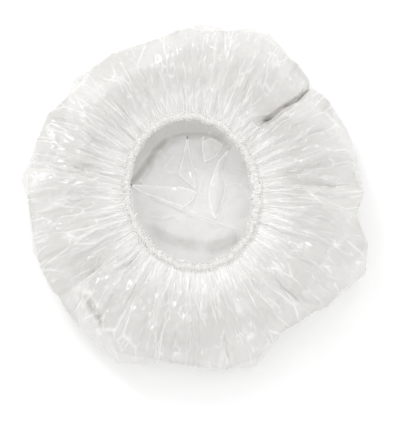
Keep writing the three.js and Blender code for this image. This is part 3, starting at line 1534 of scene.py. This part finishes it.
    def frill_rings(self, shape: CapShape, drift: Array) -> list[tuple[Array, Array]]:
        """Lays out the hem's free edge, a little inside the elastic and widest on its right side.

        Args:
            shape: the outer skin of the CAD film.
            drift: each column's shift, in radians.

        Returns:
            The places and the gather attribute's values of each of its two rings.
        """
        turn = np.arange(self.columns) * FULL_TURN / self.columns + drift
        middle = shape.band.reach(turn)
        loose = right_side(turn, self.frill_spread)
        pleat = np.where(np.arange(self.columns) % 2, -1, 1) * self.uneven(2, 0.5, 1.4)
        rings = []
        for far, share in ((self.frill[1], 1.0), (self.frill[0], 0.5)):
            out = far + share * self.chance.uniform(0, 1, self.columns) * (0.6 + 2.4 * loose) * MM
            height = shape.band.level + (-1 + share * pleat) * MM
            rings.append((round_axis(turn, middle - out, height), round_axis(turn, 1.0, -out)))
        return rings

    def mesh_of_rings(self, points: Array, gathers: Array, counts: list[int]) -> Piece:
        """Makes triangles between the rings, each pair of them split along its shorter diagonal.

        Args:
            points: every ring's points, and then the crown's middle.
            gathers: the gather attribute's value at each point.
            counts: how many points each ring has.

        Returns:
            The sheet, with its faces outward.
        """
        starts = np.concatenate([[0], np.cumsum(counts)]).astype(int)
        faces: list[tuple[int, int, int]] = []
        for ring in range(len(counts) - 1):
            here, there = int(starts[ring]), int(starts[ring + 1])
            many, few = counts[ring], counts[ring + 1]
            for j in range(few):
                after = there + (j + 1) % few
                if many == few:
                    a, b, c, d = here + j, here + (j + 1) % few, after, there + j
                    if np.linalg.norm(points[a] - points[c]) < np.linalg.norm(points[b] - points[d]):
                        faces += [(a, c, b), (a, d, c)]
                    else:
                        faces += [(a, d, b), (b, d, c)]
                else:
                    a, b, c = (here + (2 * j + k) % many for k in range(3))
                    faces += [(a, there + j, b), (b, there + j, after), (b, after, c)]
        last, middle = int(starts[-2]), len(points) - 1
        faces += [(last + j, middle, last + (j + 1) % counts[-1]) for j in range(counts[-1])]
        mesh = bpy.data.meshes.new("film_sheet")
        mesh.from_pydata(points.tolist(), [], faces)
        mark(mesh, "gather", gathers)
        mesh.update()
        return put_in("film_sheet", mesh)

    # Work on the mesh

    def depths(self, sheet: Piece) -> Array:
        """Reads each point's distance from the hem along the film."""
        return read_rows(sheet.data.attributes["gather"].data, "vector")[:, 2]

    def turns(self, sheet: Piece) -> Array:
        """Reads the direction, in radians, that each point's part of the film runs out in."""
        gathers = read_rows(sheet.data.attributes["gather"].data, "vector")
        return np.arctan2(gathers[:, 1], gathers[:, 0])

    def subdivide(self, sheet: Piece, chosen: Array) -> None:
        """Splits each triangle in four whose three points are chosen.

        Args:
            sheet: the film.
            chosen: a truth value for each point.
        """
        select_only(sheet)
        sheet.data.vertices.foreach_set("select", chosen)
        for items, size in ((sheet.data.polygons, 3), (sheet.data.edges, 2)):
            members = np.zeros(len(items) * size, int)
            items.foreach_get("vertices", members)
            items.foreach_set("select", chosen[members.reshape(-1, size)].all(axis=1))
        bpy.ops.object.mode_set(mode="EDIT")
        bpy.ops.mesh.select_mode(type="FACE")
        bpy.ops.mesh.subdivide(number_cuts=1, smoothness=0)
        bpy.ops.mesh.select_all(action="SELECT")
        bpy.ops.mesh.quads_convert_to_tris(quad_method="SHORTEST_DIAGONAL")
        bpy.ops.object.mode_set(mode="OBJECT")

    def soften(self, sheet: Piece) -> None:
        """Takes the hardest edge off the folds.

        Args:
            sheet: the film.
        """
        select_only(sheet)
        bpy.ops.object.mode_set(mode="EDIT")
        bpy.ops.mesh.select_all(action="SELECT")
        bpy.ops.mesh.vertices_smooth(factor=0.5, repeat=1)
        bpy.ops.object.mode_set(mode="OBJECT")

    def lift(self, sheet: Piece) -> None:
        """Lifts points off the surface that the cap lies on.

        Args:
            sheet: the film.
        """
        points = read_points(sheet)
        points[:, 2] = np.maximum(points[:, 2], self.lowest)
        write_points(sheet, points)

    def crease(self, sheet: Piece, shape: CapShape) -> None:
        """Strews sharp creases over the puffed top.

        Args:
            sheet: the film.
            shape: the outer skin of the CAD film.
        """
        points, depth = read_points(sheet), self.depths(sheet)
        normals = read_rows(sheet.data.vertices, "normal")
        top = np.nonzero((depth > self.clear_of_hem) & (depth < shape.above + 4 * MM))[0]
        flat = points[top, :2] / MM
        rise = np.zeros(len(top))
        for scatter in self.scatters:
            for _ in range(scatter.count):
                line = self.stray_line(scatter, shape.band)
                steep, gentle = self.chance.uniform(*scatter.steep), self.chance.uniform(*scatter.gentle)
                height, side = self.chance.uniform(*scatter.rise), self.chance.choice((-1.0, 1.0))
                low, high = line.min(axis=0) - gentle, line.max(axis=0) + gentle
                near = np.nonzero(((flat > low) & (flat < high)).all(axis=1))[0]
                if not len(near):
                    continue
                distance, share = off_line(flat[near], line)
                width = np.where(side_of(flat[near], line) * side > 0, steep, gentle)
                taper = tapered(share, 4)
                rise[near] += height * taper * np.clip(1 - distance / width, 0, 1)
        rim = shape.above / MM
        fade = along(depth[top] / MM, [(8, 0), (16, 1), (rim - 8, 1), (rim + 2, 0)])
        points[top] += normals[top] * (rise * fade * MM)[:, None]
        write_points(sheet, points)

    def stray_line(self, scatter: CreaseScatter, band: BandLine, steps: int = 7) -> Array:
        """Draws one crease's line, seen from above.

        Args:
            scatter: the creases that it is one of.
            band: the elastic that it starts beyond.
            steps: how many straight steps it has.

        Returns:
            Its corners, in millimetres.
        """
        turn = self.chance.uniform(0, FULL_TURN)
        reach = float(band.reach(turn)) / MM + self.chance.uniform(*scatter.start)
        way = turn + math.radians(self.chance.normal(0, scatter.astray))
        bend = math.radians(self.chance.normal(0, scatter.bend))
        length = self.chance.uniform(*scatter.length)
        corners = [np.array([reach * math.cos(turn), reach * math.sin(turn)])]
        for k in range(steps):
            at = way + bend * (k / (steps - 1) - 0.5)
            corners.append(corners[-1] + np.array([math.cos(at), math.sin(at)]) * length / steps)
        return np.array(corners)

    def facet(self, sheet: Piece, shape: CapShape) -> None:
        """Breaks the puffed top and side up into flat facets with straight ridges and valleys between them.

        Args:
            sheet: the film.
            shape: the outer skin of the CAD film.
        """
        points, depth, turn = read_points(sheet), self.depths(sheet), self.turns(sheet)
        picked = np.nonzero(depth > self.clear_of_hem)[0]
        turn, depth = turn[picked], depth[picked]
        skin, out = shape.on_skin(turn, depth)
        shift = np.zeros_like(skin)
        for layer in self.facets:
            strength = along(depth / MM, layer.spread)[:, None]
            spots, heights, triangles = layer.strew(self.chance)
            if layer.kind is FacetKind.ON_GROUND:
                places = points[picked, :2] / MM
            else:
                places = np.stack([turn * layer.ROUND, depth / MM], axis=1)
            if layer.kind is FacetKind.FLATTENED:
                deep = np.clip(spots[:, 1] * MM, 0, shape.above + shape.below)
                corners, ways = shape.on_skin(spots[:, 0] / layer.ROUND, deep)
                values = corners + ways * heights[:, None] * MM
                shift += (layer.carry(spots, values, triangles, places) - skin) * strength
            else:
                shift += out * layer.carry(spots, heights[:, None], triangles, places) * strength * MM
        points[picked] += shift
        write_points(sheet, points)

    def fold_crown(self, sheet: Piece) -> None:
        """Puts the crown's own creases in, where it shows through the opening, and marks a painted highlight
        along them.

        Args:
            sheet: the film.
        """
        points, depth = read_points(sheet), self.depths(sheet)
        fade_from, fade_to = self.crown_fade
        reach = np.hypot(points[:, 0], points[:, 1])
        crown = np.nonzero((depth > self.crown_depth) & (reach < fade_to * MM))[0]
        flat = points[crown, :2] / MM
        rise, white = np.zeros(len(crown)), np.zeros(len(points))
        for crease in self.creases:
            distance, share = off_line(flat, crease.line)
            taper = tapered(share, 6)
            rise += crease.rise * taper * np.clip(1 - distance / crease.width, 0, 1)
            # A painted highlight along the crease's edge.
            edge = crease.white * taper * np.clip(1.4 - distance / crease.painted_highlight_width, 0, 1)
            white[crown] = np.maximum(white[crown], edge)
        mark(sheet.data, "crease", white)
        fade = 1 - soft_step((np.hypot(flat[:, 0], flat[:, 1]) - fade_from) / (fade_to - fade_from))
        points[crown, 2] += rise * fade * MM
        write_points(sheet, points)

    def shade(self, sheet: Piece) -> None:
        """Marks painted shade: how grey the film is painted where it lies deep in its folds.

        Args:
            sheet: the film.
        """
        flat, depth = read_points(sheet)[:, :2] / MM, self.depths(sheet) / MM
        grey = np.zeros(len(flat))
        for fold in self.painted_fold_shades:
            distance, share = off_line(flat, fold.line)
            taper = tapered(share, 4, lead=0.15)
            within = (depth > fold.depths[0]) & (depth < fold.depths[1])
            grey = np.maximum(grey, fold.grey * taper * within * soft_step(1 - distance / fold.width))
        mark(sheet.data, "shade", grey)

    def lay_flaps(self, sheet: Piece) -> Piece:
        """Lays the crown's folded-over film on it.

        Args:
            sheet: the film.

        Returns:
            The film with its folds joined to it.
        """
        under = faces_of(sheet)
        return join(sheet.name, [sheet, *(self.make_flap(flap, under) for flap in self.flaps)])

    def flap_spots(self, corners: Array) -> tuple[list[Vector], int]:
        """Strews the points of a fold evenly along its edge and less evenly inside.

        Args:
            corners: its outline's corners.

        Returns:
            The points, with those of the edge first, and how many those are.
        """
        edge_step, inner_step, astray, clear_of_edge = 1.2, 1.0, 0.2, 0.45
        edge = [
            corner + (after - corner) * step
            for corner, after in zip(corners, np.roll(corners, -1, axis=0))
            for step in np.arange(0, 1, 1 / max(round(float(np.linalg.norm(after - corner)) / edge_step), 1))
        ]
        low, high = corners.min(axis=0), corners.max(axis=0)
        across, up = (np.arange(low[k], high[k], inner_step) for k in (0, 1))
        grid = np.array([(x, y) for x in across for y in up])
        grid = grid + self.chance.uniform(-astray, astray, grid.shape)
        inner = grid[inside(grid, corners) & (off_line(grid, corners, closed=True)[0] > clear_of_edge)]
        return [Vector(spot) for spot in [*map(list, edge), *inner.tolist()]], len(edge)

    def make_flap(self, flap: CrownFlap, under: BVHTree) -> Piece:
        """Makes one fold: a domed leaf of film with a rolled edge that has a painted highlight here and
        there.

        Args:
            flap: its shape.
            under: the film that it lies on.

        Returns:
            The fold.
        """
        corners = np.array(flap.outline)
        spots, edge = self.flap_spots(corners)
        flat, _, faces, *_ = delaunay_2d_cdt(spots, [], [list(range(edge))], 1, SAME_SPOT)
        flat = np.array([list(spot) for spot in flat])
        off, round_edge = off_line(flat, corners, closed=True)
        deep, wide = flap.roll
        dome = flap.rise * (1 - np.exp(-off / flap.slope)) - deep * np.clip(1 - off / wide, 0, 1) ** 2
        down = Vector((0, 0, -1))
        ground = [under.ray_cast(Vector((x * MM, y * MM, self.above_crown)), down)[0] for x, y in flat]
        height = np.array([spot.z if spot else self.lowest for spot in ground]) + (flap.lift + dome) * MM
        height = np.maximum(height, self.lowest)
        mesh = bpy.data.meshes.new("flap")
        mesh.from_pydata(np.column_stack([flat * MM, height]).tolist(), [], [tuple(face) for face in faces])
        mark(mesh, "gather", np.tile([1.0, 0.0, FOLDED], (len(flat), 1)))
        # How strongly the edge's painted highlight shows, from corner to corner.
        lit = self.chance.uniform(0.1, 1, len(corners))
        lit = np.interp(round_edge * len(corners), np.arange(len(corners) + 1), np.append(lit, lit[0]))
        mark(mesh, "crease", np.clip(1.7 - off / flap.painted_highlight_width, 0, 1) * lit)
        mesh.update()
        return put_in("flap", mesh)


# ------------------------------------------------------------------------------------------- the elastic band


@dataclass
class ElasticBand:
    """The elastic in its gathered hem, with overlock stitches over it and their chain along both edges."""

    band: BandLine
    seed: int = 8
    loose_spread: float = 0.42
    # Waves in the elastic's line: each one's height in millimetres, its count round the cap and its phase.
    wavers: tuple[Size, ...] = ((0.35, 17, 0.6), (0.3, 29, 2.0))
    # The roll's puckers: each one's share of its size, its count, and how it turns upward and across.
    puckers: tuple[tuple[float, ...], ...] = ((0.10, 188, 0, 0), (0.08, 67, 3, 0), (0.06, 113, 0, -2))
    # The hem's roll, before its puckers, is this much slimmer than the CAD band, and wider on the loose side.
    core_slimmer: Range = (0.9 * MM, 0.7 * MM)
    core_looser: float = 1.3 * MM
    core_sides: tuple[int, int] = (420, 12)
    core_thickness: float = 0.25
    thread: float = 0.36 * MM
    wrap_pitch: float = 1.9 * MM
    wrap_slant: float = 0.3
    wrap_thickness: float = 0.16
    wraps_looser: float = 1.0 * MM
    chains: tuple[tuple[int, float], ...] = ((-1, 2.0 * MM), (1, 2.2 * MM), (-1, 3.3 * MM))
    chain_radius: float = 0.68 * MM
    chain_gaps: float = 0.12
    stitches_looser: float = 1.2 * MM
    knot_pitch: float = 1.55 * MM
    knot_radius: float = 0.62 * MM
    loose_end_at: float = 133 / 360
    loose_end_radius: float = 0.25 * MM
    # The loose end's steps outward and onward from the elastic, in millimetres, and how far under it.
    loose_end_path: Line = ((-1.6, 0), (-3.6, 1.2), (-5.2, 4.2), (-6.6, 5.6))
    loose_end_drop: float = 1.5 * MM
    core_finish: YarnFinish = YarnFinish("gathered_hem", (0.83, 0.82, 0.80), (0.77, 0.76, 0.735))
    thread_finish: YarnFinish = YarnFinish("overlock_yarn")

    def __post_init__(self) -> None:
        """Measures the oval, so that places along it are at even steps."""
        self.chance = np.random.default_rng(self.seed)
        self.turn_at = np.linspace(0, FULL_TURN, 1441)
        reach = self.reach(self.turn_at)
        x, y = reach * np.cos(self.turn_at), reach * np.sin(self.turn_at)
        self.walked = np.concatenate([[0], np.cumsum(np.hypot(np.diff(x), np.diff(y)))])
        self.length = float(self.walked[-1])

    def reach(self, turn: Array) -> Array:
        """Gives the distance from the axis to the elastic's own line, which wavers most on the loose side.

        Args:
            turn: the directions in radians.

        Returns:
            One distance for each.
        """
        small = sum(height * np.sin(count * turn + phase) for height, count, phase in self.wavers)
        inward = (1.2 - 0.8 * np.sin(26 * turn)) * right_side(turn, self.loose_spread)
        return self.band.reach(turn) + (small - inward) * MM

    def placed(self, walk: float) -> tuple[Vector, Vector, Vector, float]:
        """Finds a place along the elastic.

        Args:
            walk: the distance walked round it.

        Returns:
            The place, the way onward, the way outward, and how far the place belongs to the loose side.
        """
        turn = float(np.interp(walk % self.length, self.walked, self.turn_at))
        spots = []
        for t in (turn - 0.01, turn, turn + 0.01):
            reach = float(self.reach(t))
            spots.append(Vector((reach * math.cos(t), reach * math.sin(t), self.band.level)))
        onward = (spots[2] - spots[0]).normalized()
        return spots[1], onward, Vector((onward.y, -onward.x, 0)), float(right_side(turn, self.loose_spread))

    def build(self) -> list[Piece]:
        """Makes the elastic's pieces.

        Returns:
            The gathered roll and its stitching, in place and dressed.
        """
        core = self.make_core()
        parts = [*self.make_wraps(), *self.make_chain(), *self.make_knots(), self.make_loose_end()]
        stitching = join("elastic_stitching", parts)
        for piece, finish in ((core, self.core_finish), (stitching, self.thread_finish)):
            piece.data.materials.clear()
            piece.data.materials.append(finish.material())
            shade_smooth(piece)
        return [core, stitching]

    def make_core(self) -> Piece:
        """Makes the hem's roll round the elastic: a ring, pinched and puckered between the stitches.

        Returns:
            The roll.
        """
        around, sides = self.core_sides
        core = added(
            "elastic_core",
            bpy.ops.mesh.primitive_torus_add,
            major_segments=around,
            minor_segments=sides,
            major_radius=1.0,
            minor_radius=self.core_thickness,
        )
        points = read_points(core)
        turn = np.arctan2(points[:, 1], points[:, 0])
        across = (np.hypot(points[:, 0], points[:, 1]) - 1) / self.core_thickness
        up = points[:, 2] / self.core_thickness
        waves = (size * np.sin(n * turn + p * up + q * across) for size, n, p, q in self.puckers)
        pucker = sum(waves, 1)
        slimmer, lower = self.core_slimmer
        looser = self.core_looser * right_side(turn, self.loose_spread)
        width = (self.band.half_width - slimmer + looser) * pucker
        height = (self.band.half_height - lower) * pucker
        write_points(core, round_axis(turn, self.reach(turn) + across * width, self.band.level + up * height))
        return core

    def spread_copies(
        self, model: Piece, pitch: float, settle: Callable[[int], Matrix | None]
    ) -> list[Piece]:
        """Copies a small model round the elastic, each copy with its own mesh.

        Args:
            model: what is copied. It is removed afterwards.
            pitch: the mean distance from one copy to the next.
            settle: gives each copy's place and turn, or None to leave it out.

        Returns:
            The copies.
        """
        copies = []
        for k in range(round(self.length / pitch)):
            matrix = settle(k)
            if matrix is None:
                continue
            copy = put_in(f"{model.name}_{k}", model.data.copy())
            copy.data.transform(matrix)
            copies.append(copy)
        bpy.data.objects.remove(model)
        return copies

    def hoop(self, name: str, around: int, radius: float, thread: float) -> Piece:
        """Makes one closed turn of thread, flat round the Z axis.

        Args:
            name: the object's name.
            around: how many steps it has round the axis.
            radius: the turn's own.
            thread: the thread's radius.

        Returns:
            The turn.
        """
        return added(
            name,
            bpy.ops.mesh.primitive_torus_add,
            major_segments=around,
            minor_segments=4,
            major_radius=radius,
            minor_radius=thread,
        )

    def sized(self, *ranges: Range) -> Matrix:
        """Draws a size along each axis from its range."""
        return Matrix.Diagonal((*(self.chance.uniform(*some) for some in ranges), 1))

    def spun(self, axis: str, low: float = 0.0, high: float = FULL_TURN) -> Matrix:
        """Draws a turn about an axis from a range in radians."""
        return Matrix.Rotation(self.chance.uniform(low, high), 4, axis)

    def make_wraps(self) -> list[Piece]:
        """Makes the overlock's turns: hoops of thread round the roll, each on its own slant.

        Returns:
            The turns.
        """
        chance = self.chance

        def settle(k: int) -> Matrix:
            """Stands one turn round the roll, as thick as its thread.

            Args:
                k: its number along the elastic.

            Returns:
                Its place, turn and size.
            """
            spot, onward, outward, loose = self.placed((k + chance.uniform(-0.25, 0.25)) * self.wrap_pitch)
            wide = self.band.half_width * chance.uniform(0.84, 0.97) + self.wraps_looser * loose
            high = self.band.half_height * chance.uniform(0.9, 1.02)
            spin = Matrix.Rotation(self.wrap_slant + chance.normal(0, 0.14 + 0.25 * loose), 4, "Z")
            turned = Matrix((outward, (0, 0, 1), onward)).transposed().to_4x4()
            size = Matrix.Diagonal((wide, high, self.thread / self.wrap_thickness, 1))
            return Matrix.Translation(spot + outward * chance.normal(0, 0.25 * MM)) @ spin @ turned @ size

        return self.spread_copies(self.hoop("wrap", 12, 1.0, self.wrap_thickness), self.wrap_pitch, settle)

    def make_chain(self) -> list[Piece]:
        """Makes the small rings of the overlock's chain along the inner and the outer edge.

        Returns:
            The rings.
        """
        rings, chance = [], self.chance
        for side, pitch in self.chains:

            def settle(k: int, side: int = side, pitch: float = pitch) -> Matrix | None:
                """Lays one ring by the edge, tipped its own way, or leaves a gap.

                Args:
                    k: its number along the elastic.
                    side: -1 for the inner edge and 1 for the outer.
                    pitch: the mean distance from one ring to the next.

                Returns:
                    Its place, turn and size, or None for a gap.
                """
                spot, _, outward, loose = self.placed((k + chance.uniform(-0.3, 0.3)) * pitch)
                if chance.random() < self.chain_gaps:
                    return None
                off = self.band.half_width * chance.uniform(0.74, 0.98) + self.stitches_looser * loose
                up = Vector((0, 0, chance.uniform(-0.2, 1.6) * MM))
                tip = self.spun("Z") @ self.spun("X", 0.2, 1.1)
                size = self.sized((0.7, 1.25), (0.7, 1.1), (0.8, 1.1))
                return Matrix.Translation(spot + outward * side * off + up) @ tip @ size

            ring = self.hoop("chain", 8, self.chain_radius, self.thread * 0.85)
            rings += self.spread_copies(ring, pitch, settle)
        return rings

    def make_knots(self) -> list[Piece]:
        """Makes the tight lumps where the threads lock over each other.

        Returns:
            The lumps.
        """
        chance = self.chance

        def settle(k: int) -> Matrix:
            """Sets one lump on the roll's round top.

            Args:
                k: its number along the elastic.

            Returns:
                Its place, turn and size.
            """
            spot, _, outward, loose = self.placed((k + chance.uniform(-0.4, 0.4)) * self.knot_pitch)
            across = chance.uniform(-0.95, 0.95)
            off = across * (self.band.half_width + self.stitches_looser * loose)
            up = self.band.half_height * math.sqrt(max(1 - across * across, 0)) * chance.uniform(0.85, 1.0)
            size = self.sized((0.6, 1.5), (0.6, 1.1), (0.6, 1.1))
            return Matrix.Translation(spot + outward * off + Vector((0, 0, up))) @ self.spun("Z") @ size

        knot = added("knot", bpy.ops.mesh.primitive_ico_sphere_add, subdivisions=1, radius=self.knot_radius)
        return self.spread_copies(knot, self.knot_pitch, settle)

    def make_loose_end(self) -> Piece:
        """Makes the one thread end that hangs free into the opening.

        Returns:
            The thread end, as a mesh.
        """
        line = bpy.data.curves.new("loose_end", "CURVE")
        line.dimensions = "3D"
        line.bevel_depth = self.loose_end_radius
        line.bevel_resolution = 1
        line.resolution_u = 4
        spot, onward, outward, _ = self.placed(self.length * self.loose_end_at)
        spline = line.splines.new("BEZIER")
        spline.bezier_points.add(len(self.loose_end_path) - 1)
        for point, (out, on) in zip(spline.bezier_points, self.loose_end_path):
            point.co = spot + (outward * out + onward * on) * MM - Vector((0, 0, self.loose_end_drop))
            point.handle_left_type = point.handle_right_type = "AUTO"
        select_only(put_in("loose_end", line))
        bpy.ops.object.convert(target="MESH")
        return bpy.context.object


# ------------------------------------------------------------------------------------------------- the studio


@dataclass(frozen=True)
class Lamp:
    """A soft square light that looks at the cap."""

    name: str
    place: tuple[float, float, float]
    size: float
    power: float

    def hang(self) -> None:
        """Hangs the light, turned to the cap."""
        light = bpy.data.lights.new(self.name, "AREA")
        light.size = self.size
        light.energy = self.power
        hung = put_in(self.name, light)
        hung.location = self.place
        hung.rotation_euler = (-Vector(self.place)).to_track_quat("-Z", "Y").to_euler()


@dataclass
class Studio:
    """A plain white floor, a sky that is brighter overhead, soft boxes, and the camera."""

    floor_size: float = 8.0
    zenith: float = 1.17
    horizon: float = 0.8
    lamps: tuple[Lamp, ...] = (
        Lamp("key_box", (-0.60, 0.80, 1.10), 0.35, 4.0),
        Lamp("north_spark", (0.30, 0.75, 1.20), 0.16, 0.7),
        Lamp("west_spark", (-1.05, 0.05, 0.95), 0.16, 0.6),
        Lamp("east_spark", (1.05, 0.25, 0.95), 0.16, 0.6),
        Lamp("south_spark", (0.15, -0.95, 1.05), 0.14, 0.4),
    )
    # Light passes through many layers of the film.
    clear_bounces: int = 40
    all_bounces: int = 12
    diffuse_bounces: int = 6
    # The camera looks down steeply from the cap's front, at a point beside the middle of its box.
    elevation: float = 80.0
    aim: tuple[float, float, float] = (6 * MM, -20.5 * MM, 30 * MM)
    seen_height: float = 352 * MM
    lens: float = 135.0
    sensor: float = 36.0

    def build(self) -> Piece:
        """Makes the floor, the lights and the camera.

        Returns:
            The floor.
        """
        floor = added("floor", bpy.ops.mesh.primitive_plane_add, size=self.floor_size)
        floor.data.materials.append(FloorFinish().material())
        self.light_sky()
        for lamp in self.lamps:
            lamp.hang()
        self.aim_camera()
        scene = bpy.context.scene
        scene.view_settings.view_transform = "Standard"
        scene.cycles.transparent_max_bounces = self.clear_bounces
        scene.cycles.max_bounces = self.all_bounces
        scene.cycles.diffuse_bounces = self.diffuse_bounces
        return floor

    def light_sky(self) -> None:
        """Lights the sky: white, and brighter overhead."""
        sky = bpy.data.worlds.new("studio_sky")
        bpy.context.scene.world = sky
        sky.use_nodes = True
        board = NodeBoard(sky.node_tree)
        up = board.add("SeparateXYZ", {"Vector": board.add("TexCoord").outputs["Generated"]}).outputs["Z"]
        light = board.add("MapRange", {"Value": up, "To Min": self.horizon, "To Max": self.zenith})
        background = sky.node_tree.nodes["Background"].inputs
        background["Color"].default_value = (1, 1, 1, 1)
        board.feed(background["Strength"], light.outputs["Result"])

    def aim_camera(self) -> None:
        """Puts the camera where the wanted height fills its long side."""
        camera = put_in("camera", bpy.data.cameras.new("camera"))
        camera.data.lens = self.lens
        camera.data.sensor_width = self.sensor
        tip = math.radians(self.elevation)
        back = Vector((0, -math.cos(tip), math.sin(tip)))
        camera.location = Vector(self.aim) + back * self.seen_height / self.sensor * self.lens
        camera.rotation_euler = (-back).to_track_quat("-Z", "Y").to_euler()
        bpy.context.scene.camera = camera


def main() -> None:
    """Builds the cap and its studio, and ties each piece to the frame."""
    logging.basicConfig(level=logging.INFO, format="%(name)s: %(message)s")
    floor = Studio().build()
    LOG.info("studio: floor, lights and camera")
    band = BandLine(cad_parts["elastic_band"])
    film = Film()
    sheet = film.build(CapShape(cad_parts["film"], band))
    LOG.info("film: %d triangles", len(sheet.data.polygons))
    core, stitching = ElasticBand(band).build()
    LOG.info("elastic: %d and %d faces", len(core.data.polygons), len(stitching.data.polygons))
    for piece, slot in ((sheet, Slot.FILM), (core, Slot.ELASTIC), (stitching, Slot.ELASTIC)):
        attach(piece, "root")
    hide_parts("film")
    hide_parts("elastic_band")


if __name__ == "__main__":
    main()
